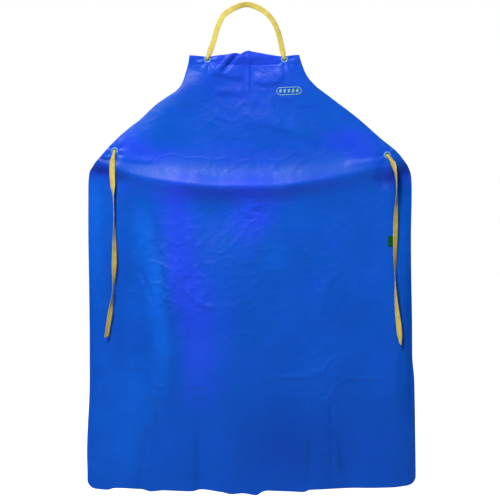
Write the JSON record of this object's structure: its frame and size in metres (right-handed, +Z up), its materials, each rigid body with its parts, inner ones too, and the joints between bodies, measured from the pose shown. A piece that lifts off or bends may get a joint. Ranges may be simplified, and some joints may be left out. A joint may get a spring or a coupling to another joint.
{
  "type": "welding apron",
  "caption": "Wipe-clean blue bib apron hung by a yellow woven neck loop, with eyelets, knotted waist ties and a plain badge.",
  "frame": {"origin": "underside of the neck tape at its highest point, where a hook or a hanger carries the apron", "axes": "+Z up, +X to the right of someone facing the front of the apron, -Y out of its front"},
  "size_m": [0.879, 0.0252, 1.3279],
  "materials": {
    "apron_sheet": "satin",
    "eyelet_plastic": "gloss",
    "woven_tape": "matte",
    "badge_ink": "satin",
    "label_cloth": "matte"
  },
  "bodies": {
    "loop": {"neck_tape": "woven_tape"},
    "bib": {"bib_panel": "apron_sheet", "top_hem": "apron_sheet", "left_top_eyelet": "eyelet_plastic", "left_top_ring": "eyelet_plastic", "right_top_eyelet": "eyelet_plastic", "right_top_ring": "eyelet_plastic", "left_neck_knot": "woven_tape", "right_neck_knot": "woven_tape", "badge": "badge_ink"},
    "skirt": {"skirt_panel": "apron_sheet", "left_waist_eyelet": "eyelet_plastic", "left_waist_ring": "eyelet_plastic", "left_waist_patch": "apron_sheet", "right_waist_eyelet": "eyelet_plastic", "right_waist_ring": "eyelet_plastic", "right_waist_patch": "apron_sheet", "side_label": "label_cloth"},
    "left_tie": {"left_tie_tape": "woven_tape", "left_tie_knot": "woven_tape"},
    "right_tie": {"right_tie_tape": "woven_tape", "right_tie_knot": "woven_tape"}
  },
  "joints": [
    {"name": "loop_fold", "type": "hinge", "parent": "loop", "child": "bib", "pos_m": [0, 0, -0.1265], "axis": [1, 0, 0], "range_deg": [-90, 90]},
    {"name": "waist_fold", "type": "hinge", "parent": "bib", "child": "skirt", "pos_m": [0, 0.0036, -0.366], "axis": [1, 0, 0], "range_deg": [-140, 140]},
    {"name": "left_tie_swing", "type": "hinge", "parent": "skirt", "child": "left_tie", "pos_m": [-0.3544, 0.0036, -0.3873], "axis": [0, 1, 0], "range_deg": [-40, 120]},
    {"name": "right_tie_swing", "type": "hinge", "parent": "skirt", "child": "right_tie", "pos_m": [0.3811, 0.0036, -0.3983], "axis": [0, 1, 0], "range_deg": [-120, 40]}
  ]
}
